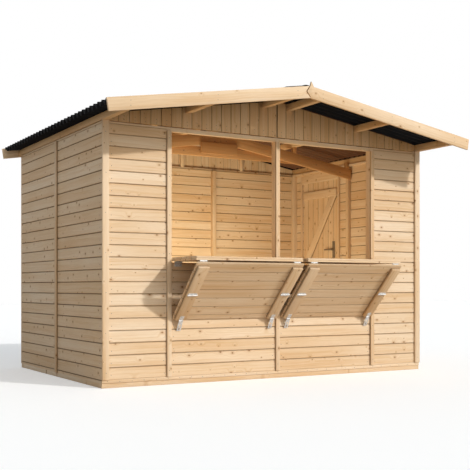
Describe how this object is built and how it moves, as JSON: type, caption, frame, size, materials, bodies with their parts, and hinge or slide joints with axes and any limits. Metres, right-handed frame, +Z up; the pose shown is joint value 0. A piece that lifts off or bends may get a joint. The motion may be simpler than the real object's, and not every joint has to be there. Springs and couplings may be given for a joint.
{
  "type": "wooden market stall",
  "caption": "Small timber market stall with shiplap walls, fold-down serving counters under a front overhang, a side door and a low gable roof of black corrugated sheet.",
  "frame": {"origin": "on the ground, under the middle of the roof", "axes": "+Z up, the serving front faces -Y, the door is in the +X wall"},
  "size_m": [3.32, 2.548, 2.3038],
  "materials": {
    "pale_wood": "planed, unpainted",
    "black_sheet": "matt corrugated sheet",
    "steel_fittings": "zinc plated"
  },
  "bodies": {
    "stall": {"apron_fittings": "steel_fittings", "back_cover_strips": "pale_wood", "back_gable": "pale_wood", "back_head_rail": "pale_wood", "back_wall_panels": "pale_wood", "corner_posts": "pale_wood", "door_head": "pale_wood", "door_hinge_plates": "steel_fittings", "door_jambs": "pale_wood", "eave_purlins": "pale_wood", "floor_bearers": "pale_wood", "floor_deck": "pale_wood", "floor_joists": "pale_wood", "front_aprons": "pale_wood", "front_bargeboards": "pale_wood", "front_base_strip": "pale_wood", "front_cover_strips": "pale_wood", "front_end_panels": "pale_wood", "front_gable": "pale_wood", "front_head_rail": "pale_wood", "front_posts": "pale_wood", "front_sill_rails": "pale_wood", "gable_posts": "pale_wood", "left_wall_panels": "pale_wood", "mid_purlins": "pale_wood", "rear_bargeboards": "pale_wood", "ridge_cap": "black_sheet", "ridge_purlins": "pale_wood", "right_over_door_panel": "pale_wood", "right_wall_panels": "pale_wood", "roof_sheet_left": "black_sheet", "roof_sheet_right": "black_sheet", "side_cover_strips": "pale_wood", "side_top_plates": "pale_wood", "truss_blocks": "pale_wood", "truss_gusset": "pale_wood", "truss_rafters": "pale_wood", "truss_tie": "pale_wood", "wall_studs": "pale_wood"},
    "left_counter": {"left_counter_boards": "pale_wood", "left_counter_top": "pale_wood", "left_counter_hinges": "steel_fittings"},
    "left_support": {"left_support_boards": "pale_wood", "left_support_battens": "pale_wood", "left_support_fittings": "steel_fittings"},
    "right_counter": {"right_counter_boards": "pale_wood", "right_counter_top": "pale_wood", "right_counter_hinges": "steel_fittings"},
    "right_support": {"right_support_boards": "pale_wood", "right_support_battens": "pale_wood", "right_support_fittings": "steel_fittings"},
    "door": {"door_boards": "pale_wood", "door_bracing": "pale_wood", "door_straps": "steel_fittings", "door_handle": "steel_fittings"}
  },
  "joints": [
    {"name": "left_counter_fold", "type": "hinge", "parent": "stall", "child": "left_counter", "pos_m": [-0.4865, -0.811, 0.921], "axis": [-1, 0, 0], "range_deg": [0, 90]},
    {"name": "left_support_fold", "type": "hinge", "parent": "left_counter", "child": "left_support", "pos_m": [-0.4865, -1.211, 0.921], "axis": [-1, 0, 0], "range_deg": [0, 134.23]},
    {"name": "right_counter_fold", "type": "hinge", "parent": "stall", "child": "right_counter", "pos_m": [0.4865, -0.811, 0.921], "axis": [-1, 0, 0], "range_deg": [0, 90]},
    {"name": "right_support_fold", "type": "hinge", "parent": "right_counter", "child": "right_support", "pos_m": [0.4865, -1.211, 0.921], "axis": [-1, 0, 0], "range_deg": [0, 134.23]},
    {"name": "door_swing", "type": "hinge", "parent": "stall", "child": "door", "pos_m": [1.516, 0.976, 0.9], "axis": [0, 0, 1], "range_deg": [0, 110]}
  ],
  "couplings": [
    {"joint": "left_support_fold", "follows": "left_counter_fold", "ratio": 1.4915},
    {"joint": "right_support_fold", "follows": "right_counter_fold", "ratio": 1.4915}
  ]
}
